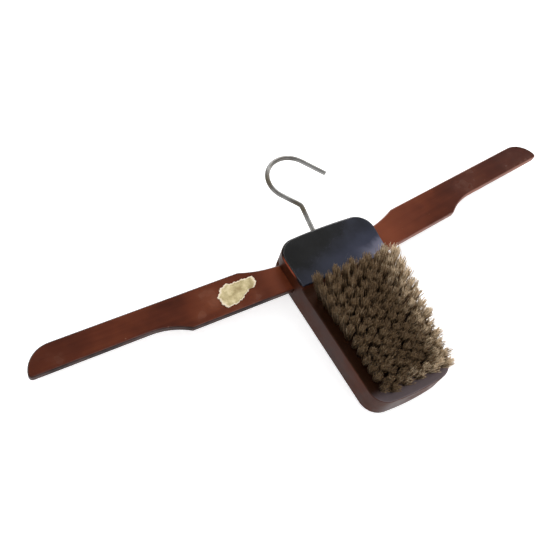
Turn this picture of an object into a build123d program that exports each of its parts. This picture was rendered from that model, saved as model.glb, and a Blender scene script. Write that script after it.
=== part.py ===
"""Travelling coat hanger whose middle is a clothes brush.

It lies on its flat back with the bristles up: X runs along the arms, Y towards the hook and Z up
through the bristles. The origin is the middle of the flat back. All sizes are in millimetres.
"""

import os
from math import atan, degrees

from build123d import *

os.makedirs("parts", exist_ok=True)

# Wooden block: a tapered slab with slightly bowed ends, a little thicker at the hook end
block_length = 125.0
hook_end_width = 73.0
far_end_width = 59.0
block_thickness = 21.5
hook_end_bow = 1.6
far_end_bow = 2.5
hook_corner_radius = 13.0
far_corner_radius = 13.0
front_round = 1.0
back_bevel = 1.5
leaf_length = 35.0
leaf_rise = 1.6
ramp_run = 7.0

# Slot for the arms, sawn in from the hook end
back_leaf_thickness = 6.65
arm_gap = 0.35
stop_gap = 0.3

# Black plate on the front leaf
plate_thickness = 1.0
plate_inset = 1.0
plate_bevel = 0.5

# Arms: flat wooden blades, sizes counted from the pivot
arm_thickness = 5.5
arm_reach = 177.8
arm_heel_radius = 9.7
arm_upper_height = 14.8
arm_outer_drop = 2.4
neck_start = 8.0
shoulder_reach = 37.1
step_reach = 79.2
step_run = 24.9
shoulder_round = 6.0
step_round = 3.0
tip_round = 2.5
arm_edge_bevel = 0.8
left_arm_lift = 0.6
right_arm_lift = 6.6

# Pivot screws, driven in from the back
pivot_inset = 10.0
pivot_below_hook_end = 20.2
screw_diameter = 4.0
screw_head_diameter = 8.0
screw_head_height = 2.0
screw_grip = 6.0
screw_slot_width = 1.0
screw_slot_depth = 0.9
pivot_clearance = 0.05
wood_fit = 0.03

# Hook: one bent wire that turns in a bore of the block
wire_diameter = 3.2
stem_seat = 22.0
stem_end_gap = 0.3
lean_start_below_hook_end = 4.0
lean_angle = 6.7
lean_bend_radius = 15.0
lean_run = 27.0
kink_angle = 43.0
kink_radius = 5.0
neck_run = 13.7
loop_radius = 17.5
loop_turn = 180.0
end_run = 19.5
wire_end_bevel = 0.6
hook_clearance = 0.05

# Pin that sits in a groove of the stem and keeps the hook from pulling out
lock_pin_diameter = 1.8
lock_pin_length = 14.0
lock_groove_depth = 0.6
lock_clearance = 0.1
lock_below_slot = 14.0

# Bristles: tufts in rows across the brush face, worn shorter towards the far end
row_count = 12
column_count = 10
bristle_margin = 5.6
field_start_below_ramp = 2.6
field_end_margin = 6.5
slice_thickness = 2.0
bristle_length_hook_end = 18.0
bristle_length_far_end = 9.5
tuft_edge = 2.3
strand_width_root = 1.0
strand_width_tip = 0.7
strand_offset_root = 0.95
strand_offset_tip = 1.35
strand_sink = 0.6
side_splay = 5.5
nap_lean = 3.0
hook_splay = 6.5
hook_splay_fade = 3

# Tolerances for picking faces and edges
upright_tolerance = 0.01
pick_band = 0.1

# Places that follow from the sizes above
hook_end_y = block_length / 2
far_end_y = -block_length / 2
hook_corner_y = hook_end_y - hook_end_bow
far_corner_y = far_end_y + far_end_bow
leaf_top = block_thickness + leaf_rise
ramp_top_y = hook_end_y - leaf_length
ramp_foot_y = ramp_top_y - ramp_run
arm_bottom = back_leaf_thickness + arm_gap
slot_top = arm_bottom + arm_thickness + arm_gap
wire_level = arm_bottom + arm_thickness / 2
pivot_x = hook_end_width / 2 - pivot_inset
pivot_y = hook_end_y - pivot_below_hook_end
slot_floor_y = pivot_y - arm_heel_radius - stop_gap
screw_radius = screw_diameter / 2
screw_head_radius = screw_head_diameter / 2
wire_radius = wire_diameter / 2
stem_bottom_y = slot_floor_y - stem_seat
lock_y = slot_floor_y - lock_below_slot
groove_radius = wire_radius - lock_groove_depth
lock_pin_radius = lock_pin_diameter / 2
lock_x = groove_radius + lock_clearance + lock_pin_radius
field_start_y = ramp_foot_y - field_start_below_ramp
field_end_y = far_end_y + field_end_margin
row_pitch = (field_start_y - field_end_y) / row_count


def half_width(y: float) -> float:
    """Half the block's width at a place along it."""
    share = (hook_end_y - y) / block_length
    return (hook_end_width + (far_end_width - hook_end_width) * share) / 2


def tapered_outline(top_y: float, bottom_y: float, inset: float) -> list[tuple[float, float]]:
    """Corners of a stretch of the block's plan, drawn in from its long sides."""
    top = half_width(top_y) - inset
    bottom = half_width(bottom_y) - inset
    return [(top, top_y), (-top, top_y), (-bottom, bottom_y), (bottom, bottom_y)]


def tangent_arc_radius(run: float, rise: float) -> float:
    """Radius of an arc that leaves a line tangentially and climbs by rise over run."""
    return (run**2 + rise**2) / (2 * rise)


def tangent_arc_angle(run: float, rise: float) -> float:
    """Degrees that such an arc turns through."""
    return degrees(2 * atan(rise / run))


# Brush block: slab with a raised leaf at the hook end, slot, bores and a bed for the bristles
with BuildPart() as brush_block:
    with BuildSketch():
        with BuildLine():
            hook_corner = half_width(hook_corner_y)
            far_corner = half_width(far_corner_y)
            hook_edge = ThreePointArc(
                (hook_corner, hook_corner_y),
                (0, hook_end_y),
                (-hook_corner, hook_corner_y),
            )
            far_edge = ThreePointArc(
                (-far_corner, far_corner_y),
                (0, far_end_y),
                (far_corner, far_corner_y),
            )
            Line(hook_edge @ 1, far_edge @ 0)
            Line(far_edge @ 1, hook_edge @ 0)
        make_face()
        fillet(vertices().group_by(Axis.Y)[-1], hook_corner_radius)
        fillet(vertices().group_by(Axis.Y)[0], far_corner_radius)
    extrude(amount=leaf_top)
    with BuildSketch(Plane.YZ):
        with BuildLine():
            cove = JernArc(
                (ramp_foot_y, block_thickness),
                (1, 0),
                tangent_arc_radius(ramp_run, leaf_rise),
                tangent_arc_angle(ramp_run, leaf_rise),
            )
            Polyline(
                cove @ 1,
                (ramp_top_y, leaf_top + leaf_rise),
                (far_end_y - ramp_run, leaf_top + leaf_rise),
                (far_end_y - ramp_run, block_thickness),
                cove @ 0,
            )
        make_face()
    extrude(amount=hook_end_width, both=True, mode=Mode.SUBTRACT)
    outer_walls = brush_block.faces().filter_by(lambda f: abs(f.normal_at().Z) < upright_tolerance)
    front_edges = outer_walls.edges().filter_by_position(
        Axis.Z,
        block_thickness - pick_band,
        leaf_top + pick_band,
    )
    fillet(front_edges, front_round)
    chamfer(brush_block.faces().sort_by(Axis.Z)[0].edges(), back_bevel)
    with BuildSketch(Plane.XY.offset(arm_bottom - arm_gap)):
        with Locations((0, slot_floor_y)):
            Rectangle(2 * hook_end_width, block_length, align=(Align.CENTER, Align.MIN))
    extrude(amount=slot_top - arm_bottom + arm_gap, mode=Mode.SUBTRACT)
    with BuildSketch(Plane.XY.offset(block_thickness)):
        with BuildLine():
            Polyline(*tapered_outline(field_start_y, field_end_y, bristle_margin), close=True)
        make_face()
    extrude(amount=-slice_thickness, mode=Mode.SUBTRACT)
    with BuildSketch(Plane.XZ.offset(-slot_floor_y)):
        with Locations((0, wire_level)):
            Circle(wire_radius + hook_clearance)
    extrude(amount=stem_seat + stem_end_gap, mode=Mode.SUBTRACT)
    with BuildSketch():
        with Locations((lock_x, lock_y)):
            Circle(lock_pin_radius + wood_fit)
    extrude(amount=lock_pin_length + wood_fit, mode=Mode.SUBTRACT)
    with BuildSketch():
        with Locations((pivot_x, pivot_y), (-pivot_x, pivot_y)):
            Circle(screw_radius + wood_fit)
    extrude(amount=slot_top + screw_grip + wood_fit, mode=Mode.SUBTRACT)
    with Locations((pivot_x, pivot_y, 0), (-pivot_x, pivot_y, 0)):
        Cylinder(
            screw_head_radius + wood_fit,
            screw_head_height,
            align=(Align.CENTER, Align.CENTER, Align.MIN),
            mode=Mode.SUBTRACT,
        )

brush_block.part.label = "brush_block"
export_step(brush_block.part, "parts/brush_block.step")

# Front plate: black facing over the leaf, its far edge straight along the top of the ramp
with BuildPart() as front_plate:
    with BuildSketch(Plane.XY.offset(leaf_top)):
        with BuildLine():
            plate_corner = half_width(hook_corner_y) - plate_inset
            plate_foot = half_width(ramp_top_y) - plate_inset
            plate_edge = ThreePointArc(
                (plate_corner, hook_corner_y - plate_inset),
                (0, hook_end_y - plate_inset),
                (-plate_corner, hook_corner_y - plate_inset),
            )
            Polyline(plate_edge @ 1, (-plate_foot, ramp_top_y), (plate_foot, ramp_top_y), plate_edge @ 0)
        make_face()
        fillet(vertices().group_by(Axis.Y)[-1], hook_corner_radius - plate_inset)
    extrude(amount=plate_thickness)
    chamfer(front_plate.faces().sort_by(Axis.Z)[-1].edges(), plate_bevel)

front_plate.part.label = "front_plate"
export_step(front_plate.part, "parts/front_plate.step")

# Arm blank: a blade along +X with its pivot at the origin
with BuildPart() as arm_blank:
    with BuildSketch():
        with BuildLine():
            outer_edge = -arm_outer_drop
            tip_radius = arm_upper_height + arm_outer_drop
            step_rise = arm_heel_radius - arm_outer_drop
            arm_neck_run = shoulder_reach - neck_start
            arm_neck_rise = arm_upper_height - arm_heel_radius
            heel = CenterArc((0, 0), arm_heel_radius, 90, 180)
            lower_edge = Line(heel @ 1, (step_reach, -arm_heel_radius))
            step = JernArc(
                (step_reach + step_run, outer_edge),
                (-1, 0),
                tangent_arc_radius(step_run, step_rise),
                tangent_arc_angle(step_run, step_rise),
            )
            Line(step @ 0, (arm_reach, outer_edge))
            tip = CenterArc((arm_reach - tip_radius, outer_edge), tip_radius, 0, 90)
            Line(tip @ 1, (shoulder_reach, arm_upper_height))
            neck = JernArc(
                (neck_start, arm_heel_radius),
                (1, 0),
                tangent_arc_radius(arm_neck_run, arm_neck_rise),
                tangent_arc_angle(arm_neck_run, arm_neck_rise),
            )
            Line(neck @ 0, heel @ 0)
        make_face()
        fillet(vertices().sort_by_distance((shoulder_reach, arm_upper_height))[0], shoulder_round)
        fillet(vertices().sort_by_distance((step_reach, -arm_heel_radius))[0], step_round)
        fillet(vertices().sort_by_distance((arm_reach, outer_edge))[0], tip_round)
    extrude(amount=arm_thickness)
    chamfer(arm_blank.edges().filter_by(Axis.Z, reverse=True), arm_edge_bevel)
    Hole(screw_radius + pivot_clearance)

# Right arm, a little raised on its pivot, and left arm, its mirror image, almost down on the slot's floor
with BuildPart() as right_arm:
    with Locations(Location((pivot_x, pivot_y, arm_bottom), (0, 0, right_arm_lift))):
        add(arm_blank.part)

right_arm.part.label = "right_arm"
export_step(right_arm.part, "parts/right_arm.step")

with BuildPart() as left_arm:
    with Locations(Location((-pivot_x, pivot_y, arm_bottom), (0, 0, -left_arm_lift))):
        add(mirror(arm_blank.part, about=Plane.YZ, mode=Mode.PRIVATE))

left_arm.part.label = "left_arm"
export_step(left_arm.part, "parts/left_arm.step")

# Pivot screws: flat heads sunk in the back, through the arm and into the front leaf
for side, name in ((1, "right_pivot_screw"), (-1, "left_pivot_screw")):
    with BuildPart() as pivot_screw:
        with BuildSketch(Plane.XZ):
            with BuildLine():
                Polyline(
                    (0, 0),
                    (screw_head_radius, 0),
                    (screw_head_radius, screw_head_height),
                    (screw_radius, screw_head_height),
                    (screw_radius, slot_top + screw_grip),
                    (0, slot_top + screw_grip),
                    close=True,
                )
            make_face()
        revolve(axis=Axis.Z)
        Box(
            screw_head_diameter,
            screw_slot_width,
            screw_slot_depth,
            align=(Align.CENTER, Align.CENTER, Align.MIN),
            mode=Mode.SUBTRACT,
        )
    with BuildPart() as seated_screw:
        with Locations((side * pivot_x, pivot_y, 0)):
            add(pivot_screw.part)
    seated_screw.part.label = name
    export_step(seated_screw.part, f"parts/{name}.step")

# Hook: straight stem on the Y axis, a slight lean, a kink and a half-round loop
with BuildPart() as hook:
    with BuildLine(Plane.XY.offset(wire_level)) as wire_path:
        stem = Line((0, stem_bottom_y), (0, hook_end_y - lean_start_below_hook_end))
        lean = JernArc(stem @ 1, stem % 1, lean_bend_radius, -lean_angle)
        rise = Line(lean @ 1, lean @ 1 + (lean % 1) * lean_run)
        kink = JernArc(rise @ 1, rise % 1, kink_radius, kink_angle)
        neck_line = Line(kink @ 1, kink @ 1 + (kink % 1) * neck_run)
        loop = JernArc(neck_line @ 1, neck_line % 1, loop_radius, -loop_turn)
        Line(loop @ 1, loop @ 1 + (loop % 1) * end_run)
    with BuildSketch(Plane(origin=stem @ 0, z_dir=stem % 0)):
        Circle(wire_radius)
    sweep(path=wire_path.line)
    chamfer(hook.faces().filter_by(GeomType.PLANE).edges(), wire_end_bevel)
    with BuildSketch(Plane.XZ.offset(-lock_y)):
        with Locations((0, wire_level)):
            Circle(wire_diameter)
            Circle(groove_radius, mode=Mode.SUBTRACT)
    extrude(amount=lock_pin_radius + lock_clearance, both=True, mode=Mode.SUBTRACT)

hook.part.label = "hook"
export_step(hook.part, "parts/hook.step")

# Lock pin: driven in from the back beside the stem
with BuildPart() as hook_lock_pin:
    with Locations((lock_x, lock_y, 0)):
        Cylinder(lock_pin_radius, lock_pin_length, align=(Align.CENTER, Align.CENTER, Align.MIN))

hook_lock_pin.part.label = "hook_lock_pin"
export_step(hook_lock_pin.part, "parts/hook_lock_pin.step")


def strand(root: tuple[float, float], tip: tuple[float, float], length: float) -> Part:
    """One square strand that leans from its root in the brush face to its tip."""
    lean_x, lean_y = tip[0] - root[0], tip[1] - root[1]
    middle, half_tip = strand_width_root / 2, strand_width_tip / 2
    root_corner = (root[0] - middle, root[1] + middle, block_thickness - strand_sink)
    with BuildPart() as leaning:
        with Locations(root_corner):
            Wedge(
                strand_width_root,
                strand_sink + length,
                strand_width_root,
                middle + lean_x - half_tip,
                middle - lean_y - half_tip,
                middle + lean_x + half_tip,
                middle - lean_y + half_tip,
                rotation=(90, 0, 0),
                align=None,
            )
    return leaning.part


def row_strands(row: int) -> list[Part]:
    """Strands of one row: three to a tuft, the outer tufts splayed and the hook-end rows leaning."""
    y = field_start_y - row * row_pitch - row_pitch / 2
    reach = half_width(y) - bristle_margin - tuft_edge
    along = row / (row_count - 1)
    length = bristle_length_hook_end + (bristle_length_far_end - bristle_length_hook_end) * along
    lean_y = nap_lean + hook_splay * (1 - along) ** hook_splay_fade
    strands = []
    for column in range(column_count):
        across = 2 * column / (column_count - 1) - 1
        x = reach * across
        lean_x = side_splay * across * abs(across) * length / bristle_length_hook_end
        for dx, dy in ((-1, -1), (1, -1), (0, 1)):
            root = (x + dx * strand_offset_root, y + dy * strand_offset_root)
            tip = (x + lean_x + dx * strand_offset_tip, y + lean_y + dy * strand_offset_tip)
            strands.append(strand(root, tip, length))
    return strands


# Bristle rows: each a slice of the brush face with the strands that stand in it
for row in range(row_count):
    strands = row_strands(row)
    row_start_y = field_start_y - row * row_pitch
    with BuildPart() as bristle_row:
        with BuildSketch(Plane.XY.offset(block_thickness)):
            with BuildLine():
                Polyline(*tapered_outline(row_start_y, row_start_y - row_pitch, bristle_margin), close=True)
            make_face()
        extrude(amount=-slice_thickness)
        add(strands)
    name = f"bristle_row_{row + 1:02d}"
    bristle_row.part.label = name
    export_step(bristle_row.part, f"parts/{name}.step")
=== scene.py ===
"""Looks of a travelling coat hanger whose middle is a clothes brush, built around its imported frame.

The hanger lies on its flat back with the bristles up: X runs along the arms, Y towards the hook and Z up.
All sizes here are in metres.
"""

import logging
import math
from dataclasses import dataclass
from enum import Enum

import bpy
import numpy as np
from mathutils import Matrix, Vector


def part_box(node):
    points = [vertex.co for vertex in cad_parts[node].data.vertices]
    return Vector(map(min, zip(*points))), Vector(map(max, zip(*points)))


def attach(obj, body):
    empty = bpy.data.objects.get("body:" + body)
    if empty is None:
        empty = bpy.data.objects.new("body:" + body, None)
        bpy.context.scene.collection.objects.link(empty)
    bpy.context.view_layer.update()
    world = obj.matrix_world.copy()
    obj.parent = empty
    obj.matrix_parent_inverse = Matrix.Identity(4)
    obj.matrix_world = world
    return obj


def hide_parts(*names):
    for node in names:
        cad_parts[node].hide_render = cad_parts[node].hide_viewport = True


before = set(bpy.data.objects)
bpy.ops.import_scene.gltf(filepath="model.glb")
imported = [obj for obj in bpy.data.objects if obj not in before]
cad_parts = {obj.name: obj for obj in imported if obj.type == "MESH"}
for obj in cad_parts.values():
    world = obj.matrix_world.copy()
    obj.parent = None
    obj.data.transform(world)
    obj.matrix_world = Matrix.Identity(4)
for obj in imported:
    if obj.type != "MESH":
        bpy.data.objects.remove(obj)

LOG = logging.getLogger("hanger")
MM = 0.001
LEAF_RISE = 1.6 * MM

Point = tuple[float, float, float]
Tone = tuple[float, float, float, float]
Stops = tuple[float, float, float]

WHITE: Tone = (1.0, 1.0, 1.0, 1.0)

# Places of the colour sockets on Blender's Mix node
MIX_SHARE, MIX_FIRST, MIX_SECOND, MIX_RESULT = 0, 6, 7, 2

# The screen's colour curve: a straight toe, then a power
FULL_CODE = 255
TOE_END = 0.04045
TOE_SLOPE = 12.92
CURVE_OFFSET = 0.055
CURVE_POWER = 2.4


class Side(Enum):
    """Which arm of the hanger, as the sign of X."""

    LEFT = -1
    RIGHT = 1


class Coat(Enum):
    """How a finish shines, as roughness of its top coat."""

    WORN = 0.24
    DULL = 0.42


def linear(red: int, green: int, blue: int) -> Tone:
    """Turns an 8-bit screen colour into the linear colour that a shader takes.

    Args:
        red: Red, 0 to 255.
        green: Green, 0 to 255.
        blue: Blue, 0 to 255.

    Returns:
        Linear red, green and blue with full alpha.
    """
    parts = np.array([red, green, blue]) / FULL_CODE
    low = parts / TOE_SLOPE
    high = ((parts + CURVE_OFFSET) / (1 + CURVE_OFFSET)) ** CURVE_POWER
    return (*np.where(parts <= TOE_END, low, high).tolist(), 1.0)


@dataclass(frozen=True)
class Pattern:
    """Fractal noise on Object coordinates.

    Attributes:
        scale: Features per metre, after the stretch.
        detail: Octaves.
        rough: Share that each octave hands on to the next finer one.
        warp: How far the noise bends itself.
        stretch: Scale along each axis, after the pattern's turn.
    """

    scale: float
    detail: float
    rough: float
    warp: float = 0.0
    stretch: Point = (1, 1, 1)


@dataclass(frozen=True)
class Step:
    """A smooth step that clamps: low becomes out_low, high becomes out_high, and low may lie above high."""

    low: float
    high: float
    out_low: float = 0.0
    out_high: float = 1.0


class Graph:
    """A material's node tree with short calls for the nodes that the finishes share."""

    def __init__(self, name: str) -> None:
        """Starts a material with its Principled shader wired to its output.

        Args:
            name: The material's name.
        """
        self.material = bpy.data.materials.new(name)
        self.material.use_nodes = True
        self.tree = self.material.node_tree
        self.shader = self.tree.nodes["Principled BSDF"]

    def node(self, kind: str, settings: dict | None = None, **inputs: object) -> bpy.types.Node:
        """Adds a node and feeds its inputs.

        Args:
            kind: The node's type, without the ShaderNode prefix.
            settings: Properties to set on the node itself.
            inputs: Socket names, with spaces as underscores, to a value or an output socket.

        Returns:
            The new node.
        """
        made = self.tree.nodes.new(f"ShaderNode{kind}")
        for key, value in (settings or {}).items():
            setattr(made, key, value)
        for key, value in inputs.items():
            self.feed(made.inputs[key.replace("_", " ")], value)
        return made

    def feed(self, socket: bpy.types.NodeSocket, value: object) -> None:
        """Sets a socket to a value, or links an output socket to it.

        Args:
            socket: The input socket.
            value: A value or an output socket.
        """
        if isinstance(value, bpy.types.NodeSocket):
            self.tree.links.new(value, socket)
        else:
            socket.default_value = value

    def place(self, stretch: Point = (1, 1, 1), turn: float = 0.0) -> bpy.types.NodeSocket:
        """Object coordinates, turned and then stretched.

        Args:
            stretch: Scale along each axis after the turn.
            turn: Turn about Z, in radians.

        Returns:
            The mapped vector.
        """
        source = self.node("TexCoord").outputs["Object"]
        turned = self.node("Mapping", {"vector_type": "TEXTURE"}, Vector=source, Rotation=(0, 0, turn))
        return self.node("Mapping", Vector=turned.outputs["Vector"], Scale=stretch).outputs["Vector"]

    def spot(self) -> bpy.types.NodeOutputs:
        """Object coordinates as the sockets X, Y and Z."""
        return self.node("SeparateXYZ", Vector=self.place()).outputs

    def noise(self, pattern: Pattern, turn: float = 0.0) -> bpy.types.NodeSocket:
        """Fractal noise from 0 to 1.

        Args:
            pattern: The noise's scale, octaves and stretch.
            turn: Turn of the pattern about Z, in radians.

        Returns:
            The noise's value.
        """
        made = self.node("TexNoise", Vector=self.place(pattern.stretch, turn), Scale=pattern.scale,
                         Detail=pattern.detail, Roughness=pattern.rough, Distortion=pattern.warp)
        return made.outputs["Fac"]

    def ramp(self, value: bpy.types.NodeSocket, stops: Stops,
             tones: tuple[Tone, Tone, Tone]) -> bpy.types.NodeSocket:
        """Colour ramp through three tones.

        Args:
            value: Where on the ramp.
            stops: Place of each tone, rising.
            tones: The colours.

        Returns:
            The colour.
        """
        made = self.node("ValToRGB", Fac=value)
        points = made.color_ramp.elements
        for place in stops[1:-1]:
            points.new(place)
        for point, place, tone in zip(points, stops, tones):
            point.position = place
            point.color = tone
        return made.outputs["Color"]

    def span(self, value: bpy.types.NodeSocket, step: Step) -> bpy.types.NodeSocket:
        """Passes a number through a smooth step.

        Args:
            value: The number.
            step: The step.

        Returns:
            The step's outcome.
        """
        made = self.node("MapRange", {"interpolation_type": "SMOOTHSTEP"}, Value=value, From_Min=step.low,
                         From_Max=step.high, To_Min=step.out_low, To_Max=step.out_high)
        return made.outputs["Result"]

    def mix(self, share: object, first: object, second: object) -> bpy.types.NodeSocket:
        """Mixes two colours.

        Args:
            share: Share of the second colour.
            first: The first colour.
            second: The second colour.

        Returns:
            The mixed colour.
        """
        made = self.node("Mix", {"data_type": "RGBA"})
        self.feed(made.inputs[MIX_SHARE], share)
        self.feed(made.inputs[MIX_FIRST], first)
        self.feed(made.inputs[MIX_SECOND], second)
        return made.outputs[MIX_RESULT]

    def math(self, operation: str, first: object, second: object) -> bpy.types.NodeSocket:
        """Arithmetic on two numbers.

        Args:
            operation: Blender's name of the operation.
            first: The first number.
            second: The second number.

        Returns:
            The outcome.
        """
        made = self.node("Math", {"operation": operation})
        for socket, value in zip(made.inputs, (first, second)):
            self.feed(socket, value)
        return made.outputs["Value"]

    def times(self, first: object, second: object) -> bpy.types.NodeSocket:
        """Product of two numbers."""
        return self.math("MULTIPLY", first, second)

    def plus(self, first: object, second: object) -> bpy.types.NodeSocket:
        """Sum of two numbers."""
        return self.math("ADD", first, second)

    def bump(self, height: bpy.types.NodeSocket, depth: float, strength: float) -> None:
        """Bumps the shader.

        Args:
            height: The bumps, from 0 to 1.
            depth: Their depth.
            strength: How much of them shows.
        """
        made = self.node("Bump", Height=height, Distance=depth, Strength=strength)
        self.feed(self.shader.inputs["Normal"], made.outputs["Normal"])

    def surface(self, colour: object, rough: object, **fixed: object) -> bpy.types.Material:
        """Sets the shader's colour, roughness and constant sockets.

        Args:
            colour: Base colour, a value or an output socket.
            rough: Roughness, a value or an output socket.
            fixed: Further sockets of the shader, with spaces as underscores.

        Returns:
            The finished material.
        """
        self.feed(self.shader.inputs["Base Color"], colour)
        self.feed(self.shader.inputs["Roughness"], rough)
        for key, value in fixed.items():
            self.feed(self.shader.inputs[key.replace("_", " ")], value)
        return self.material


@dataclass(frozen=True)
class ArmWood:
    """Reddish-brown lacquered wood with its grain along an arm.

    Attributes:
        turn: The arm's turn about Z, which the grain follows, in radians.
        low: Level of the arm's under side.
        high: Level of its upper side.
        edge: Colour of the narrow faces between the two: painted shade on the left arm, a painted highlight
            on the right arm.
        tip: Colour that the wood fades to, out along the arm.
        tip_fade: Share of that colour by distance from the object's middle.
        inner_sheen_fade: Share of the lighter wood with a painted sheen beside the block, by the same
            distance.
    """

    turn: float
    low: float
    high: float
    edge: Tone
    tip: Tone
    tip_fade: Step
    inner_sheen_fade: Step
    dark: Tone = linear(66, 27, 14)
    middle: Tone = linear(94, 43, 24)
    light: Tone = linear(120, 61, 35)
    stops: Stops = (0.34, 0.5, 0.68)
    scuff: Tone = linear(146, 100, 80)
    inner_sheen: Tone = linear(150, 80, 54)
    streaks: Pattern = Pattern(1.0, 6, 0.6, 0.4, (6, 90, 60))
    streak_share: float = 0.35
    patches: Pattern = Pattern(22, 3, 0.55)
    patch_share: float = 0.65
    pores: Pattern = Pattern(1.0, 2, 0.5, 0.0, (60, 1400, 900))
    pore_cover: Step = Step(0.62, 0.72, 0.0, 0.3)
    pore_depth: float = 0.35
    clouds: Pattern = Pattern(45, 3, 0.5)
    scuff_cover: Step = Step(0.56, 0.8, 0.0, 0.4)
    edge_cover: Step = Step(0.3, 0.6, 0.6, 0.95)
    edge_depth: float = 0.6 * MM
    edge_rough: float = 0.4
    specks: Pattern = Pattern(420, 2, 0.4)
    speck_cover: Step = Step(0.76, 0.8, 0.0, 0.55)
    dents: Pattern = Pattern(130, 4, 0.6)
    dent_depth: float = 0.12 * MM
    dent_strength: float = 0.6
    rough: Step = Step(0.35, 0.75, 0.17, 0.3)
    specular: float = 0.16
    coat: Coat = Coat.WORN
    coat_weight: float = 0.04

    def material(self, name: str) -> bpy.types.Material:
        """Long streaks of grain, broad patches of tone, fine pores and pale scuffs in the lacquer, with
        painted light and shade on the narrow faces and a painted sheen beside the block.

        Args:
            name: The material's name.

        Returns:
            The material.
        """
        graph = Graph(name)
        streaks = graph.noise(self.streaks, self.turn)
        patches = graph.noise(self.patches, self.turn)
        pores = graph.noise(self.pores, self.turn)
        clouds = graph.noise(self.clouds, self.turn)
        specks = graph.noise(self.specks, self.turn)
        dents = graph.noise(self.dents, self.turn)
        grain = graph.plus(graph.times(streaks, self.streak_share), graph.times(patches, self.patch_share))
        wood = graph.ramp(grain, self.stops, (self.dark, self.middle, self.light))
        wood = graph.mix(graph.span(pores, self.pore_cover), wood, self.dark)
        wood = graph.mix(graph.span(clouds, self.scuff_cover), wood, self.scuff)
        spot = graph.spot()
        reach = graph.math("ABSOLUTE", spot["X"], 0.0)
        wood = graph.mix(graph.span(reach, self.tip_fade), wood, self.tip)
        # Lighter wood with a painted sheen beside the block.
        wood = graph.mix(graph.span(reach, self.inner_sheen_fade), wood, self.inner_sheen)
        # Painted light and shade on the narrow faces: the edge colour is painted shade on the left arm and a
        # painted highlight on the right arm.
        under = graph.span(spot["Z"], Step(self.high, self.high - self.edge_depth))
        over = graph.span(spot["Z"], Step(self.low, self.low + self.edge_depth))
        narrow = graph.times(graph.times(under, over), graph.span(clouds, self.edge_cover))
        wood = graph.mix(narrow, wood, self.edge)
        wood = graph.mix(graph.span(specks, self.speck_cover), wood, self.scuff)
        rough = graph.plus(graph.span(clouds, self.rough), graph.times(narrow, self.edge_rough))
        height = graph.plus(graph.times(pores, self.pore_depth), dents)
        graph.bump(height, self.dent_depth, self.dent_strength)
        return graph.surface(wood, rough, Specular_IOR_Level=self.specular, Coat_Weight=self.coat_weight,
                             Coat_Roughness=self.coat.value)


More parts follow.
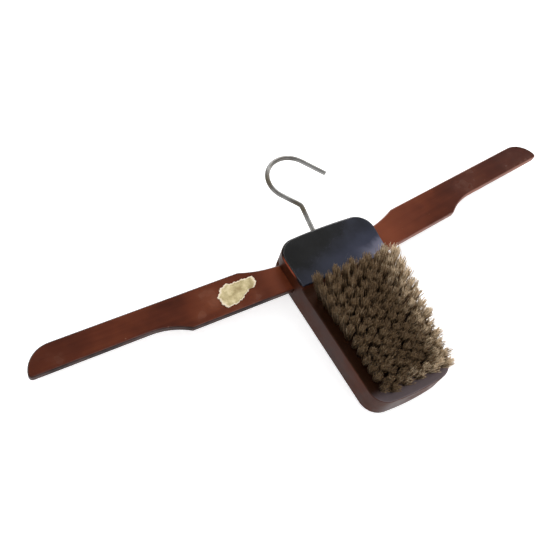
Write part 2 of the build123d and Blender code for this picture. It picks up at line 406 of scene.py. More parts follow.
@dataclass(frozen=True)
class BlockLacquer:
    """Near-black brown lacquer over wood, painted darker on the brush face as shade under the bristles, with
    a painted sheen at the face's far end and a painted highlight on the left rim.

    Attributes:
        face_step: Step by level, from the block's sides to its brush face.
        brush_step: Step along Y, from the ramp to the brush face.
        far_sheen_step: Step along Y, from the plain face to the painted sheen at the far end.
        far_sheen_sway: How far the clouds shift the painted sheen's start.
        rim_step: Step by level, from the brush face to the front leaf's rim.
        leaf_step: Step along Y, from the ramp to the front leaf.
        highlight_start: Step along Y, where the painted highlight on the rim starts.
        highlight_end: Step along Y, where it ends.
        left_step: Step along X, from the middle to the left.
    """

    dark: Tone = linear(52, 22, 11)
    middle: Tone = linear(72, 34, 18)
    rubbed: Tone = linear(96, 51, 33)
    stops: Stops = (0.36, 0.56, 0.78)
    face: Tone = linear(48, 25, 12)
    # Painted sheen at the brush face's far end.
    dust_and_sheen: Tone = linear(112, 100, 102)
    rim: Tone = linear(24, 14, 10)
    # Painted highlight on the front leaf's left rim.
    worn: Tone = linear(160, 78, 54)
    streaks: Pattern = Pattern(1.0, 5, 0.6, 0.3, (70, 9, 70))
    streak_share: float = 0.45
    clouds: Pattern = Pattern(38, 5, 0.6)
    cloud_share: float = 0.55
    face_step: Step = Step(21.0 * MM, 21.3 * MM)
    brush_step: Step = Step(26.5 * MM, 25.0 * MM)
    far_sheen_step: Step = Step(-46.0 * MM, -54.5 * MM)
    far_sheen_sway: float = 8.0 * MM
    rim_step: Step = Step(22.4 * MM, 22.9 * MM)
    leaf_step: Step = Step(28.5 * MM, 29.5 * MM)
    highlight_start: Step = Step(33 * MM, 39 * MM)
    highlight_end: Step = Step(53 * MM, 49 * MM)
    left_step: Step = Step(0, -10 * MM)
    dents: Pattern = Pattern(210, 4, 0.6)
    dent_depth: float = 0.12 * MM
    dent_strength: float = 0.5
    rough: Step = Step(0.35, 0.7, 0.34, 0.55)
    specular: float = 0.08
    coat: Coat = Coat.DULL
    coat_weight: float = 0.02

    def material(self, name: str) -> bpy.types.Material:
        """Streaks along the block under cloudy wear, painted darker on the brush face as shade under the
        bristles and darker on the front leaf's rim, with a painted sheen at the face's far end and a painted
        highlight on the left rim.

        Args:
            name: The material's name.

        Returns:
            The material.
        """
        graph = Graph(name)
        streaks = graph.noise(self.streaks)
        clouds = graph.noise(self.clouds)
        tone = graph.plus(graph.times(streaks, self.streak_share), graph.times(clouds, self.cloud_share))
        wood = graph.ramp(tone, self.stops, (self.dark, self.middle, self.rubbed))
        spot = graph.spot()
        # The brush face is painted darker as shade under the bristles.
        raised = graph.span(spot["Z"], self.face_step)
        brushed = graph.span(spot["Y"], self.brush_step)
        # A painted sheen, pale purple-grey, at the brush face's far end.
        dust = graph.plus(spot["Y"], graph.times(clouds, self.far_sheen_sway))
        face = graph.mix(graph.span(dust, self.far_sheen_step), self.face, self.dust_and_sheen)
        wood = graph.mix(graph.times(raised, brushed), wood, face)
        rim = graph.span(spot["Z"], self.rim_step)
        leaf = graph.span(spot["Y"], self.leaf_step)
        wood = graph.mix(graph.times(rim, leaf), wood, self.rim)
        # A painted highlight on a stretch of the front leaf's left rim.
        bare = graph.times(graph.span(spot["Y"], self.highlight_start), graph.span(spot["Y"], self.highlight_end))
        bare = graph.times(bare, graph.span(spot["X"], self.left_step))
        wood = graph.mix(graph.times(rim, bare), wood, self.worn)
        graph.bump(graph.noise(self.dents), self.dent_depth, self.dent_strength)
        return graph.surface(wood, graph.span(clouds, self.rough), Specular_IOR_Level=self.specular,
                             Coat_Weight=self.coat_weight, Coat_Roughness=self.coat.value)


@dataclass(frozen=True)
class BlackPlate:
    """Black facing with a satin shine, dust, hairline scratches, a bluish painted sheen and a paler bluish
    patch.

    Attributes:
        sheen_right: Half of the painted sheen's share, by a step along X.
        sheen_near: The other half, by a step along Y.
        sheen_sway: How far the clouds shift that share.
        sheen_cover: The painted sheen by its share.
        patch_right: Step of the paler patch along X.
        patch_near: Its step along Y.
        patch_sway: How far the blotches shift its edge.
    """

    black: Tone = linear(8, 8, 8)
    dust_and_sheen: Tone = linear(22, 22, 24)
    # Bluish painted sheen.
    plate_sheen: Tone = linear(50, 53, 71)
    pale_patch: Tone = linear(133, 132, 152)
    clouds: Pattern = Pattern(45, 5, 0.6)
    dust_cover: Step = Step(0.4, 0.75, 0.0, 0.6)
    specks: Pattern = Pattern(700, 2, 0.5)
    speck_cover: Step = Step(0.76, 0.8, 0.0, 0.5)
    speck_depth: float = 0.02 * MM
    speck_strength: float = 0.3
    sheen_right: Step = Step(-30 * MM, 32 * MM, 0.0, 0.5)
    sheen_near: Step = Step(57 * MM, 30 * MM, 0.0, 0.5)
    sheen_sway: Step = Step(0.3, 0.7, -0.08, 0.08)
    sheen_cover: Step = Step(0.2, 0.9)
    blotches: Pattern = Pattern(75, 3, 0.55)
    patch_right: Step = Step(8 * MM, 33 * MM)
    patch_near: Step = Step(42 * MM, 31 * MM)
    patch_sway: Step = Step(0.3, 0.7, -2.5 * MM, 2.5 * MM)
    hairlines: Pattern = Pattern(1.0, 2, 0.5, 0.0, (30, 1600, 1))
    hairline_turn: float = 0.6
    hairline_rough: Step = Step(0.66, 0.74, 0.0, 0.04)
    rough: Step = Step(0.3, 0.75, 0.2, 0.27)
    specular: float = 0.3
    coat: Coat = Coat.WORN
    coat_weight: float = 0.05

    def material(self, name: str) -> bpy.types.Material:
        """Cloudy dust, fine scratches, a broad painted sheen and a paler bluish patch in the corner by the
        right bristles.

        The painted sheen's share is the sum, and the paler patch's the product, of a step along X and one
        along Y.

        Args:
            name: The material's name.

        Returns:
            The material.
        """
        graph = Graph(name)
        clouds = graph.noise(self.clouds)
        specks = graph.noise(self.specks)
        tone = graph.mix(graph.span(clouds, self.dust_cover), self.black, self.dust_and_sheen)
        tone = graph.mix(graph.span(specks, self.speck_cover), tone, self.dust_and_sheen)
        spot = graph.spot()
        # A broad painted sheen, growing to the right and towards the far end.
        share = graph.plus(graph.span(spot["X"], self.sheen_right), graph.span(spot["Y"], self.sheen_near))
        share = graph.plus(share, graph.span(clouds, self.sheen_sway))
        tone = graph.mix(graph.span(share, self.sheen_cover), tone, self.plate_sheen)
        # A paler bluish patch in the corner by the right bristles.
        sway = graph.span(graph.noise(self.blotches), self.patch_sway)
        near = graph.span(graph.plus(spot["Y"], sway), self.patch_near)
        right = graph.span(graph.plus(spot["X"], sway), self.patch_right)
        tone = graph.mix(graph.times(near, right), tone, self.pale_patch)
        hairlines = graph.noise(self.hairlines, self.hairline_turn)
        rough = graph.plus(graph.span(clouds, self.rough), graph.span(hairlines, self.hairline_rough))
        graph.bump(specks, self.speck_depth, self.speck_strength)
        return graph.surface(tone, rough, Specular_IOR_Level=self.specular, Coat_Weight=self.coat_weight,
                             Coat_Roughness=self.coat.value)


@dataclass(frozen=True)
class WireMetal:
    """Dull nickel or steel, tarnished in yellowish patches."""

    bright: Tone = linear(152, 151, 148)
    grey: Tone = linear(112, 109, 105)
    tarnish: Tone = linear(95, 88, 76)
    stops: Stops = (0.36, 0.5, 0.64)
    edge: Tone = linear(40, 38, 36)
    blotches: Pattern = Pattern(55, 3, 0.5)
    grains: Pattern = Pattern(1500, 2, 0.5)
    grain_depth: float = 0.03 * MM
    grain_strength: float = 0.25
    rough: Step = Step(0.35, 0.7, 0.28, 0.48)
    metallic: float = 0.85

    def material(self, name: str) -> bpy.types.Material:
        """Blotches of tarnish over grey metal, rougher where it is tarnished.

        Args:
            name: The material's name.

        Returns:
            The material.
        """
        graph = Graph(name)
        blotches = graph.noise(self.blotches)
        tone = graph.ramp(blotches, self.stops, (self.bright, self.grey, self.tarnish))
        graph.bump(graph.noise(self.grains), self.grain_depth, self.grain_strength)
        return graph.surface(tone, graph.span(blotches, self.rough), Metallic=self.metallic,
                             Specular_Tint=self.edge)


@dataclass(frozen=True)
class BristleHair:
    """Natural bristle: darker at the root, partly its own colour and partly painted shade deep in the tufts,
    taupe along its length and paler at the tip from wear.
    """

    root: Tone = linear(66, 50, 34)
    shaft: Tone = linear(88, 69, 48)
    tip: Tone = linear(132, 108, 79)
    stops: Stops = (0.1, 0.55, 0.95)
    pale: Tone = linear(242, 220, 188)
    pale_cover: Step = Step(0.55, 1.6, 0.0, 0.95)
    dark_cover: Step = Step(0.5, 0.0, 0.0, 0.55)
    rough: Step = Step(0.0, 1.0, 0.36, 0.55)
    specular: float = 0.15

    def material(self, name: str) -> bpy.types.Material:
        """Tone by height along the strand, and by the strand's shade value, both held as attributes; the
        shade value holds each strand's own tone with painted light and shade.

        Args:
            name: The material's name.

        Returns:
            The material.
        """
        graph = Graph(name)
        height = graph.node("Attribute", {"attribute_name": "height"}).outputs["Fac"]
        shade = graph.node("Attribute", {"attribute_name": "shade"}).outputs["Fac"]
        # Darker towards the root: the hair's own colour with painted shade deep in the tufts.
        tone = graph.ramp(height, self.stops, (self.root, self.shaft, self.tip))
        # Pale strands: the hair's own paler tone with painted light on the right tufts and in the tufts'
        # middles.
        tone = graph.mix(graph.span(shade, self.pale_cover), tone, self.pale)
        # Dark strands: painted shade on the tufts' rims and in the band along the brush, with the hair's own
        # darker tone.
        tone = graph.mix(graph.span(shade, self.dark_cover), tone, self.root)
        return graph.surface(tone, graph.span(shade, self.rough), Specular_IOR_Level=self.specular)


@dataclass(frozen=True)
class TornPaper:
    """Aged cream paper, browned with glue and paler along its torn edge.

    Attributes:
        glue_start: Step by the rim attribute, where the ring of glue starts.
        glue_end: Step by the rim attribute, where it ends.
        glue_cover: How the clouds break the ring up.
        torn_cover: Step by the rim attribute, to the bare fibres at the edge.
    """

    cream: Tone = linear(220, 204, 156)
    stain: Tone = linear(174, 154, 108)
    fibre: Tone = linear(255, 238, 212)
    stops: Stops = (0.36, 0.54, 0.75)
    clouds: Pattern = Pattern(130, 5, 0.65)
    fibres: Pattern = Pattern(1.0, 3, 0.6, 0.0, (500, 1400, 500))
    fibre_share: float = 0.4
    glue_start: Step = Step(0.7, 0.8, 0.0, 0.6)
    glue_end: Step = Step(0.9, 0.84)
    glue_cover: Step = Step(0.6, 0.4)
    torn_cover: Step = Step(0.86, 0.95, 0.0, 0.85)
    crease_depth: float = 0.2 * MM
    crease_strength: float = 0.8
    rough: Step = Step(0.3, 0.7, 0.75, 0.95)

    def material(self, name: str) -> bpy.types.Material:
        """Glue stains in clouds, fibres at the edge by the rim attribute, and a creased bump.

        Args:
            name: The material's name.

        Returns:
            The material.
        """
        graph = Graph(name)
        clouds = graph.noise(self.clouds)
        fibres = graph.noise(self.fibres)
        rim = graph.node("Attribute", {"attribute_name": "rim"}).outputs["Fac"]
        tone = graph.ramp(clouds, self.stops, (self.stain, self.cream, self.fibre))
        glue = graph.times(graph.span(rim, self.glue_start), graph.span(rim, self.glue_end))
        tone = graph.mix(graph.times(glue, graph.span(clouds, self.glue_cover)), tone, self.stain)
        tone = graph.mix(graph.span(rim, self.torn_cover), tone, self.fibre)
        creases = graph.plus(clouds, graph.times(fibres, self.fibre_share))
        graph.bump(creases, self.crease_depth, self.crease_strength)
        return graph.surface(tone, graph.span(fibres, self.rough))


def mesh_object(name: str, points: np.ndarray, quads: np.ndarray) -> bpy.types.Object:
    """Puts whole arrays of points and four-sided faces into a new mesh with smooth shading.

    Args:
        name: The object's name.
        points: Corner places, one row each.
        quads: Corner numbers, four to a row; a repeated last number makes a triangle.

    Returns:
        The new object, at the origin.
    """
    mesh = bpy.data.meshes.new(name)
    triangle = quads[:, 2] == quads[:, 3]
    sizes = np.where(triangle, 3, 4)
    keep = np.ones(quads.shape, bool)
    keep[triangle, 3] = False
    corners = quads[keep]
    mesh.vertices.add(len(points))
    mesh.vertices.foreach_set("co", points.astype(np.float32).ravel())
    mesh.loops.add(len(corners))
    mesh.loops.foreach_set("vertex_index", corners.astype(np.int32))
    mesh.polygons.add(len(quads))
    mesh.polygons.foreach_set("loop_start", (np.cumsum(sizes) - sizes).astype(np.int32))
    mesh.polygons.foreach_set("use_smooth", np.ones(len(quads), bool))
    mesh.update(calc_edges=True)
    mesh.validate()
    made = bpy.data.objects.new(name, mesh)
    bpy.context.scene.collection.objects.link(made)
    return made


def ring_quads(rings: int, turns: int) -> np.ndarray:
    """Faces between neighbouring rings of points, each ring closed on itself.

    Args:
        rings: Number of rings.
        turns: Points on a ring.

    Returns:
        Corner numbers, four to a row.
    """
    here = np.arange(rings - 1)[:, None] * turns
    spot = np.arange(turns)
    after = (spot + 1) % turns
    quads = np.stack([here + spot, here + turns + spot, here + turns + after, here + after], axis=2)
    return quads.reshape(-1, 4)


def point_attribute(target: bpy.types.Object, name: str, values: np.ndarray) -> None:
    """Stores one number for each point of a mesh under a name that a material can read."""
    made = target.data.attributes.new(name, "FLOAT", "POINT")
    made.data.foreach_set("value", values.astype(np.float32).ravel())


def wear(target: bpy.types.Object, material: bpy.types.Material) -> None:
    """Gives an object one material in place of all it had."""
    target.data.materials.clear()
    target.data.materials.append(material)


@dataclass
class BristleField:
    """Twelve rows of tufts in the brush face, shortened by wear towards the far end.

    A tuft is a bundle of tapered three-sided strands. A strand starts sunk in the tuft's hole, leans with its
    row and fans out from the tuft's middle: place = root + lean * s + bow * (s * s - s), with s from 0 to 1.

    Attributes:
        fan: How far a strand at a tuft's rim leans outwards.
        stray: Scatter of the strands' tips.
        bow: Scatter of the strands' bend.
        row_lean: Lean of every row towards the hook.
        nap: Polynomial of the lean across the brush, in shares of the splay.
        hook_splay: Further lean of the first row towards the hook.
        hook_fade: Power by which that fades along the brush.
        end_splay: Lean of the last row away from the hook.
        end_fade: Power by which that grows along the brush.
        side_splay: Lean of the outer tufts of full length.
        side_fade: Power of the length by which shorter tufts splay less.
        tuft_edge: From the strip's end to the middle of the outer tufts.
        stagger: How far every other tuft stands before or behind its row.
        tuft_jitter: Scatter of the tufts' places.
        tuft_lean: Scatter of the tufts' lean.
        tuft_wear: Scatter of the tufts' length, downwards only.
        length_spread: Scatter of the strands' length.
        longest: Longest strand, as a share of its tuft's length.
        strand_wear: Further scatter of the strands' height, downwards only.
        edge_fray: How much wider the right tufts fan out, and the power of its fading to the left.
        edge_light: Painted light on the right tufts: how much paler they are, and the power of its fading to
            the left.
        end_paleness: How much paler the last row is, and the power of its fading towards the hook.
        end_shift: Where, left of the middle, the last row starts to be paler.
        shadow_band: How much darker a band along the brush is.
        band_middle: The band's middle across the brush.
        band_width: The band's width across the brush.
        band_start: Where along the brush the band has its full strength.
        pale_core: How much of the paleness the strands at a tuft's middle take.
        light_core: How much lighter the middle of a tuft is than its rim, as painted light and shade that set
            the tufts apart.
        core_mean: Mean of the strands' nearness to their tuft's middle.
        shade_peak: Both powers of the beta spread of the strands' own shades.
        level_gap: Tolerance for points on one level or line.
    """

    rows: int = 12
    columns: int = 10
    strands_per_tuft: int = 105
    rings: int = 5
    sides: int = 3
    tuft_radius: float = 1.7 * MM
    fan: float = 0.5 * MM
    stray: float = 1.05 * MM
    bow: float = 1.0 * MM
    root_radius: float = 0.2 * MM
    tip_radius: float = 0.15 * MM
    root_sink: float = 0.5 * MM
    full_length: float = 18.0 * MM
    row_lean: float = 1.0 * MM
    nap: tuple[float, ...] = (0.2, 0.35, 0.0, 0.0, 0.0, 0.325, 0.125)
    hook_splay: float = 8.5 * MM
    hook_fade: int = 3
    end_splay: float = 2.2 * MM
    end_fade: int = 2
    side_splay: float = 5.5 * MM
    side_fade: float = 1.4
    tuft_edge: float = 2.3 * MM
    stagger: float = 1.6 * MM
    tuft_jitter: float = 0.2 * MM
    tuft_lean: float = 0.5 * MM
    tuft_wear: float = 0.03
    length_spread: float = 0.05
    longest: float = 1.05
    strand_wear: float = 0.02
    edge_fray: tuple[float, int] = (0.4, 4)
    edge_light: tuple[float, int] = (1.5, 3)
    end_paleness: tuple[float, int] = (0.9, 30)
    end_shift: float = 0.7
    shadow_band: float = 0.22
    band_middle: float = 0.2
    band_width: float = 0.45
    band_start: float = 0.25
    pale_core: float = 1.7
    light_core: float = 0.35
    core_mean: float = 0.5
    shade_peak: float = 3.0
    level_gap: float = 0.1 * MM
    seed: int = 7
    hair: BristleHair = BristleHair()

    def build(self, slice_material: bpy.types.Material) -> None:
        """Builds and dresses every row.

        Args:
            slice_material: Finish of the strip of brush face that carries a row.
        """
        hair = self.hair.material("bristle_hair")
        for row in range(self.rows):
            node = f"bristle_row_{row + 1:02d}"
            piece = self.row_piece(row, node)
            piece.data.materials.append(hair)
            piece.data.materials.append(slice_material)
            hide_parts(node)
            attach(piece, "brush")
            LOG.info("bristles %s: %d faces", node, len(piece.data.polygons))

    def row_piece(self, row: int, node: str) -> bpy.types.Object:
        """One row: its strip of brush face and the strands of its tufts.

        Args:
            row: Number of the row, from the hook end.
            node: The frame's node that the row stands for.

        Returns:
            The row as one object.
        """
        strip_points, strip_quads, face, half_width, row_y = self.strip(node)
        rng = np.random.default_rng(self.seed + row)
        along = row / (self.rows - 1)
        across = np.linspace(-1, 1, self.columns)
        lean = self.leans(across, along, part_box(node)[1][2] - face, rng)
        zigzag = self.stagger * (-1) ** np.arange(self.columns)
        tuft = np.stack([(half_width - self.tuft_edge) * across, row_y + zigzag,
                         np.full(self.columns, face)], axis=1)
        tuft[:, :2] += rng.normal(0, self.tuft_jitter, (self.columns, 2))
        fray, tuft_light_and_shade = self.fray(across), self.tuft_light_and_shade(across, along)
        points, quads, height, shade = self.strands(tuft, lean, fray, tuft_light_and_shade, rng)
        piece = mesh_object(f"tufts_{row + 1:02d}", np.concatenate([points, strip_points]),
                            np.concatenate([quads, strip_quads + len(points)]))
        bare = np.zeros(len(strip_points))
        point_attribute(piece, "height", np.concatenate([height, bare]))
        point_attribute(piece, "shade", np.concatenate([shade, bare]))
        on_strip = np.arange(len(piece.data.polygons)) >= len(quads)
        piece.data.polygons.foreach_set("material_index", on_strip.astype(np.int32))
        piece.data.polygons.foreach_set("use_smooth", ~on_strip)
        return piece

    def strip(self, node: str) -> tuple[np.ndarray, np.ndarray, float, float, float]:
        """The tapered strip of brush face under a row, read from the node's own lowest corners.

        Args:
            node: The frame's node.

        Returns:
            Points, faces, the brush face's level, half the strip's middle width, and its middle along Y.
        """
        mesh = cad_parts[node].data
        places = np.empty(len(mesh.vertices) * 3)
        mesh.vertices.foreach_get("co", places)
        places = places.reshape(-1, 3)
        low = places[:, 2].min()
        base = places[places[:, 2] < low + self.level_gap]
        near_y, far_y = base[:, 1].max(), base[:, 1].min()
        near_x = base[base[:, 1] > near_y - self.level_gap][:, 0].max()
        far_x = base[base[:, 1] < far_y + self.level_gap][:, 0].max()
        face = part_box("brush_block")[1][2] - LEAF_RISE
        plan = np.array([(near_x, near_y), (-near_x, near_y), (-far_x, far_y), (far_x, far_y)])
        points = np.concatenate([np.c_[plan, np.full(4, low)], np.c_[plan, np.full(4, face)]])
        quads = np.array([(3, 2, 1, 0), (4, 5, 6, 7), (0, 1, 5, 4), (1, 2, 6, 5), (2, 3, 7, 6), (3, 0, 4, 7)])
        return points, quads, face, (near_x + far_x) / 2, (near_y + far_y) / 2

    def leans(self, across: np.ndarray, along: float, length: float, rng: np.random.Generator) -> np.ndarray:
        """Way from each tuft's root to the middle of its tips.

        Across the brush it is the nap's polynomial times a splay that grows with the length. Along the brush
        it is row_lean + hook_splay * (1 - along) ** hook_fade - end_splay * along ** end_fade.

        Args:
            across: Place of each tuft in its row, -1 to 1.
            along: Place of the row, 0 at the hook end to 1 at the far end.
            length: The row's bristle length.
            rng: Source of the tufts' scatter.

        Returns:
            One row of X, Y and Z for each tuft.
        """
        splay = self.side_splay * (length / self.full_length) ** self.side_fade
        rake = self.row_lean + self.hook_splay * (1 - along) ** self.hook_fade
        rake -= self.end_splay * along ** self.end_fade
        lean = np.stack([splay * np.polynomial.polynomial.polyval(across, self.nap),
                         np.full(self.columns, rake), np.full(self.columns, length)], axis=1)
        lean[:, :2] += rng.normal(0, self.tuft_lean, (self.columns, 2))
        lean[:, 2] *= 1 - np.abs(rng.normal(0, self.tuft_wear, self.columns))
        return lean

    def fray(self, across: np.ndarray) -> np.ndarray:
        """How much wider than usual each tuft fans out: 1 + amount * across ** power, right of the middle."""
        amount, power = self.edge_fray
        return 1 + amount * np.clip(across, 0, 1) ** power

    def tuft_light_and_shade(self, across: np.ndarray, along: float) -> np.ndarray:
        """How much paler than usual each tuft is.

        It rises to the right by painted light and in the last row by paleness, both by powers, less a painted
        shadow in a bell-shaped band along the brush.

        Args:
            across: Place of each tuft in its row, -1 to 1.
            along: Place of the row, 0 at the hook end to 1 at the far end.

        Returns:
            One number for each tuft.
        """
        # Painted light on the right tufts.
        amount, power = self.edge_light
        pale = amount * np.clip(across, 0, 1) ** power
        amount, power = self.end_paleness
        pale += amount * along ** power * np.clip(across + self.end_shift, 0, 1)
        band = np.exp(-((across - self.band_middle) / self.band_width) ** 2)
        return pale - self.shadow_band * min(1, along / self.band_start) * band

    def strands(self, tuft: np.ndarray, lean: np.ndarray, fray: np.ndarray, tuft_light_and_shade: np.ndarray,
                rng: np.random.Generator) -> tuple[np.ndarray, ...]:
        """All strands of a row as whole arrays.

        Args:
            tuft: Middle of each tuft on the brush face.
            lean: Way from each tuft's middle to the middle of its tips.
            fray: How much wider than usual each tuft fans out.
            tuft_light_and_shade: How much paler than usual each tuft is, with painted light and shade.
            rng: Source of the strands' scatter.

        Returns:
            Points, faces, height along the strand and shade of the strand.
        """
        count = self.strands_per_tuft
        total = len(tuft) * count
        turn = rng.uniform(0, math.tau, total)
        out = np.sqrt(rng.uniform(0, 1, total))
        spoke = np.stack([np.cos(turn), np.sin(turn), np.zeros(total)], axis=1) * out[:, None]
        way = np.repeat(lean, count, axis=0)
        way = way * np.minimum(1 + rng.normal(0, self.length_spread, total), self.longest)[:, None]
        way[:, 2] -= np.abs(rng.normal(0, self.strand_wear, total)) * way[:, 2]
        wide = np.repeat(fray, count)[:, None]
        way = way + spoke * self.fan * wide
        way[:, :2] += rng.normal(0, self.stray, (total, 2)) * wide
        bend = np.zeros((total, 3))
        bend[:, :2] = rng.normal(0, self.bow, (total, 2))
        root = np.repeat(tuft, count, axis=0) + spoke * self.tuft_radius
        root[:, 2] -= self.root_sink
        s = np.linspace(0, 1, self.rings)
        line = root[:, None] + way[:, None] * s[:, None] + bend[:, None] * (s * s - s)[:, None]
        line[:, :, 2] += (self.root_sink * s)[None]
        radius = self.root_radius + (self.tip_radius - self.root_radius) * s
        spin = rng.uniform(0, math.tau, total)[:, None] + np.arange(self.sides) * math.tau / self.sides
        ring = np.stack([np.cos(spin), np.sin(spin), np.zeros_like(spin)], axis=2)
        points = line[:, :, None] + ring[:, None] * radius[None, :, None, None]
        height = np.repeat(np.tile(s, total), self.sides)
        # Painted light and shade: a tuft's middle strands lighter, its rim strands darker, and the tuft's
        # painted light and shade gathered in its middle.
        core = 1 - out * out
        shade = rng.beta(self.shade_peak, self.shade_peak, total) + self.light_core * (core - self.core_mean)
        shade = shade + np.repeat(tuft_light_and_shade, count) * self.pale_core * core
        shade = np.repeat(shade, self.rings * self.sides)
        return points.reshape(-1, 3), self.strand_quads(total), height, shade

    def strand_quads(self, total: int) -> np.ndarray:
        """Faces of all strands of a row: the walls of each, with a triangle at its tip and at its root.

        Args:
            total: Number of strands.

        Returns:
            Corner numbers, four to a row.
        """
        wall = ring_quads(self.rings, self.sides)[:, [0, 3, 2, 1]]
        top = (self.rings - 1) * self.sides
        caps = np.array([[top, top + 1, top + 2, top + 2], [2, 1, 0, 0]])
        one = np.concatenate([wall, caps])
        every = one[None] + (np.arange(total) * self.rings * self.sides)[:, None, None]
        return every.reshape(-1, 4)


@dataclass
class BrushBody:
    """The block, its black plate, and the screws and pin in its back."""

    lacquer: BlockLacquer = BlockLacquer()
    plate: BlackPlate = BlackPlate()
    steel: WireMetal = WireMetal(bright=linear(150, 146, 140))

    def dress(self) -> bpy.types.Material:
        """Finishes the frame's own nodes of the body.

        Returns:
            The block's lacquer, for the strips of brush face.
        """
        lacquer = self.lacquer.material("block_lacquer")
        wear(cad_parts["brush_block"], lacquer)
        wear(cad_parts["front_plate"], self.plate.material("black_plate"))
        steel = self.steel.material("screw_steel")
        for node in ("left_pivot_screw", "right_pivot_screw", "hook_lock_pin"):
            wear(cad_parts[node], steel)
        LOG.info("brush body dressed")
        return lacquer


@dataclass
class HangerArm:
    """One flat wooden arm.

    Attributes:
        side: Which arm.
        lift: How far it stands above straight out, in radians.
        edge: Colour of its narrow faces, painted as shade on the left arm and as a highlight on the right
            arm.
        tip: Colour that its wood fades to, out along the arm.
        tip_fade: Share of that colour by distance from the object's middle.
        inner_sheen_fade: Share of the lighter wood with a painted sheen beside the block, by the same
            distance.
    """

    side: Side
    lift: float
    edge: Tone
    tip: Tone
    tip_fade: Step
    inner_sheen_fade: Step

    def dress(self) -> None:
        """Gives the arm its wood, with the grain along it."""
        name = f"{self.side.name.lower()}_arm"
        low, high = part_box(name)
        wood = ArmWood(turn=self.side.value * self.lift, low=float(low[2]), high=float(high[2]),
                       edge=self.edge, tip=self.tip, tip_fade=self.tip_fade, inner_sheen_fade=self.inner_sheen_fade)
        wear(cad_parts[name], wood.material(f"{name}_wood"))
        LOG.info("%s dressed", name)


@dataclass
class PaperSlip:
    """Torn, blank remnant of a paper slip glued on the left arm.

    Attributes:
        middle: The slip's middle along X and Y.
        corners: Corners of its outline about that middle, in millimetres.
        turns: Points around the outline.
        rings: Rings of points from the middle to the outline.
        ring_power: How the rings crowd towards the outline.
        window: Points over which the outline is evened.
        waves: Count, height and shift of each sine that roughens the outline.
        tear: Size of that roughness.
        curl: How far the edge lifts off.
        curl_power: How near the edge it does so.
        curl_wave: Its change from one point of the outline to the next, in radians.
        glue_gap: How far the slip sinks into the lacquer.
    """

    middle: tuple[float, float] = (-69.5 * MM, 45.0 * MM)
    thickness: float = 0.18 * MM
    corners: tuple[tuple[float, float], ...] = (
        (-14.0, 0.9), (-9.6, 6.2), (-5.2, 7.8), (-1.3, 6.7), (5.1, 6.9), (14.0, 6.4), (13.9, 0.9),
        (10.9, -1.3), (7.8, -1.0), (4.3, -3.4), (-0.3, -6.3), (-4.1, -7.5), (-8.5, -7.6),
        (-11.6, -7.6), (-13.0, -4.2),
    )
    turns: int = 240
    rings: int = 14
    ring_power: float = 0.8
    window: int = 5
    waves: tuple[tuple[int, float, float], ...] = ((13, 1.0, 1), (29, 0.8, 2), (71, 0.6, 0))
    tear: float = 0.275 * MM
    curl: float = 0.25 * MM
    curl_power: int = 6
    curl_wave: float = 0.21
    glue_gap: float = 0.02 * MM
    paper: TornPaper = TornPaper()

    def outline(self) -> np.ndarray:
        """Points around the torn edge: straight runs between the corners, evened and then roughened.

        The roughness moves a point outwards by tear * sum of height * sin(count * angle + shift).

        Returns:
            One row of X and Y for each point, about the slip's middle.
        """
        corners = np.array(self.corners) * MM
        loop = np.concatenate([corners, corners[:1]])
        length = np.concatenate([[0], np.cumsum(np.linalg.norm(np.diff(loop, axis=0), axis=1))])
        place = np.linspace(0, length[-1], self.turns, endpoint=False)
        edge = np.stack([np.interp(place, length, loop[:, axis]) for axis in (0, 1)], axis=1)
        half = self.window // 2
        wrapped = np.concatenate([edge[-half:], edge, edge[:half]])
        kernel = np.ones(self.window) / self.window
        edge = np.stack([np.convolve(wrapped[:, axis], kernel, "valid") for axis in (0, 1)], axis=1)
        angle = place / length[-1] * math.tau
        rough = sum(height * np.sin(count * angle + shift) for count, height, shift in self.waves)
        out = edge / np.linalg.norm(edge, axis=1, keepdims=True)
        return edge + out * (rough * self.tear)[:, None]

    def build(self, top: float) -> None:
        """Lays the slip on the arm: rings from its middle to the torn edge, and back under it.

        Its upper side stands at top + thickness + curl * share ** curl_power * (1 + sine) / 2.

        Args:
            top: Level of the arm's upper face.
        """
        share = np.linspace(0, 1, self.rings) ** self.ring_power
        flat = self.outline()[None] * share[:, None, None] + np.array(self.middle)
        wave = (1 + np.sin(np.arange(self.turns) * self.curl_wave)) / 2
        level = top + self.thickness + self.curl * share[:, None] ** self.curl_power * wave[None]
        upper = np.concatenate([flat, level[:, :, None]], axis=2)
        lower = upper[::-1].copy()
        lower[:, :, 2] -= self.thickness + self.glue_gap
        grid = np.concatenate([upper, lower])
        piece = mesh_object("paper_slip", grid.reshape(-1, 3), ring_quads(len(grid), self.turns))
        rim = np.concatenate([share, share[::-1]])
        point_attribute(piece, "rim", np.repeat(rim, self.turns))
        wear(piece, self.paper.material("torn_paper"))
        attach(piece, "left_arm")
        LOG.info("paper slip laid")


@dataclass
class WireHook:
    """The bent wire hook."""

    nickel: WireMetal = WireMetal()

    def dress(self) -> None:
        """Gives the hook its tarnished plating."""
        wear(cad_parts["hook"], self.nickel.material("hook_nickel"))
        LOG.info("hook dressed")


@dataclass(frozen=True)
class Lamp:
    """A soft rectangular lamp that faces the object.

    Attributes:
        name: The lamp's name.
        place: Where it hangs.
        size: Its width and height.
        watts: Its power.
        tint: Its colour.
    """

    name: str
    place: Point
    size: tuple[float, float]
    watts: float
    tint: tuple[float, float, float]

    def hang(self) -> None:
        """Adds the lamp to the scene."""
        data = bpy.data.lights.new(self.name, "AREA")
        data.shape = "RECTANGLE"
        data.size, data.size_y = self.size
        data.energy = self.watts
        data.color = self.tint
        made = bpy.data.objects.new(self.name, data)
        made.location = self.place
        made.rotation_euler = (-Vector(self.place)).to_track_quat("-Z", "Y").to_euler()
        bpy.context.scene.collection.objects.link(made)


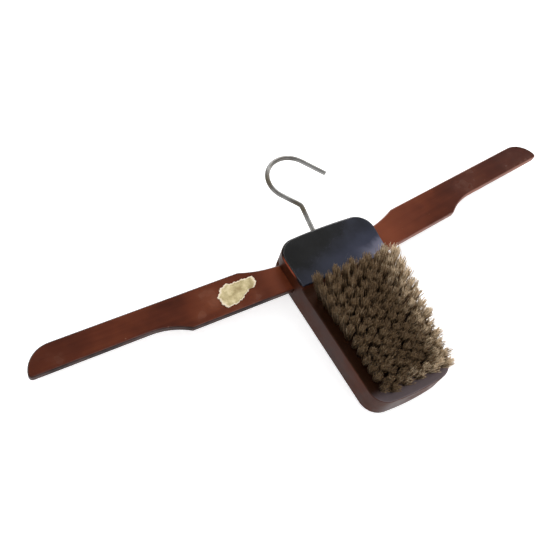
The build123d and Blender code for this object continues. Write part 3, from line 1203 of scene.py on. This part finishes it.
@dataclass
class Studio:
    """White table, soft light and the camera of the photograph.

    Attributes:
        eye: Where the camera stands.
        target: What it looks at.
        roll: Its turn about its line of sight, in radians.
        lens: Its focal length in millimetres.
        clip_start: Nearest distance that it shows.
        floor_radius: Radius of the flat floor.
        sweep_radius: Radius of the sweep from the floor to the wall.
        sweep_steps: Points along the sweep.
        wall_height: Level of the wall's top.
        wall_turns: Points around the wall.
        floor_tone: Colour of floor and wall.
        floor_rough: Their roughness.
        floor_glow: Their own light, as the camera and reflections see it.
        sky: Strength of the even light from all round.
        lamps: The lamps.
    """

    eye: Point = (-222.7 * MM, -119.0 * MM, 422.1 * MM)
    target: Point = (-34.6 * MM, 46.8 * MM, 0.0)
    roll: float = math.radians(22.85)
    lens: float = 47.32
    clip_start: float = 0.01
    floor_radius: float = 2.4
    sweep_radius: float = 0.6
    sweep_steps: int = 16
    wall_height: float = 2.0
    wall_turns: int = 96
    floor_tone: Tone = (0.86, 0.86, 0.86, 1.0)
    floor_rough: float = 0.8
    floor_glow: float = 0.66
    sky: float = 0.5
    lamps: tuple[Lamp, ...] = (
        Lamp("window", (1.2, 2.0, 1.36), (1.4, 1.4), 40.0, (0.96, 0.98, 1.0)),
        Lamp("side_window", (2.2, 0.28, 0.8), (0.9, 0.7), 13.0, (1.0, 0.97, 0.92)),
        Lamp("table_front", (0.7, -2.0, 0.8), (1.6, 1.0), 14.0, (0.96, 0.94, 1.0)),
    )

    def set_up(self) -> None:
        """Builds the table, the light and the camera."""
        bpy.context.scene.view_settings.view_transform = "Standard"
        self.table()
        self.world()
        for lamp in self.lamps:
            lamp.hang()
        self.camera()
        LOG.info("studio set up")

    def table(self) -> None:
        """A pale round floor that sweeps up into a wall, white where it is lit and darker in the shade.

        Its profile runs flat to the sweep, through a quarter circle and straight up, and is spun about Z.
        """
        bend = np.linspace(0, math.pi / 2, self.sweep_steps)
        out = np.concatenate([[0.0], self.floor_radius + self.sweep_radius * np.sin(bend)])
        out = np.append(out, out[-1])
        rise = np.concatenate([[0.0], self.sweep_radius * (1 - np.cos(bend)), [self.wall_height]])
        turn = np.arange(self.wall_turns) * math.tau / self.wall_turns
        points = np.stack([out[:, None] * np.cos(turn), out[:, None] * np.sin(turn),
                           np.repeat(rise[:, None], self.wall_turns, axis=1)], axis=2)
        floor = mesh_object("table_top", points.reshape(-1, 3), ring_quads(len(out), self.wall_turns))
        graph = Graph("table_white")
        rays = graph.node("LightPath").outputs
        seen = graph.math("MAXIMUM", rays["Is Camera Ray"], rays["Is Glossy Ray"])
        seen = graph.math("MAXIMUM", seen, rays["Is Transmission Ray"])
        wear(floor, graph.surface(self.floor_tone, self.floor_rough, Emission_Color=WHITE,
                                  Emission_Strength=graph.times(seen, self.floor_glow)))

    def world(self) -> None:
        """Even white light from all round."""
        world = bpy.data.worlds.new("white_room")
        world.use_nodes = True
        bpy.context.scene.world = world
        background = world.node_tree.nodes["Background"]
        background.inputs["Color"].default_value = WHITE
        background.inputs["Strength"].default_value = self.sky

    def camera(self) -> None:
        """The photograph's camera: it looks down from the left, rolled about its line of sight."""
        eye = Vector(self.eye)
        forward = (Vector(self.target) - eye).normalized()
        level = forward.cross(Vector((0, 0, 1))).normalized()
        lift = level.cross(forward)
        right = level * math.cos(self.roll) + lift * math.sin(self.roll)
        up = right.cross(forward)
        turn = Matrix((right, up, -forward)).transposed().to_4x4()
        data = bpy.data.cameras.new("photo_camera")
        data.lens = self.lens
        data.clip_start = self.clip_start
        made = bpy.data.objects.new("photo_camera", data)
        made.matrix_world = Matrix.Translation(eye) @ turn
        bpy.context.scene.collection.objects.link(made)
        bpy.context.scene.camera = made


def main() -> None:
    """Builds and dresses each sub-assembly and lights it."""
    logging.basicConfig(level=logging.INFO, format="%(name)s: %(message)s")
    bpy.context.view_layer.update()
    lacquer = BrushBody().dress()
    BristleField().build(lacquer)
    left_arm = HangerArm(
        side=Side.LEFT,
        lift=math.radians(0.6),
        # Narrow faces painted dark as shade.
        edge=linear(24, 12, 8),
        tip=linear(66, 27, 14),
        tip_fade=Step(110 * MM, 215 * MM, 0.0, 0.45),
        # Lighter wood with a painted sheen beside the block.
        inner_sheen_fade=Step(56 * MM, 42 * MM, 0.0, 0.4),
    )
    left_arm.dress()
    right_arm = HangerArm(
        side=Side.RIGHT,
        lift=math.radians(6.6),
        # Narrow faces painted pale as a highlight.
        edge=linear(150, 104, 88),
        tip=linear(44, 24, 22),
        tip_fade=Step(85 * MM, 130 * MM, 0.0, 0.45),
        # Lighter wood with a painted sheen beside the block.
        inner_sheen_fade=Step(92 * MM, 48 * MM, 0.0, 0.4),
    )
    right_arm.dress()
    PaperSlip().build(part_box("left_arm")[1][2])
    WireHook().dress()
    Studio().set_up()


if __name__ == "__main__":
    main()
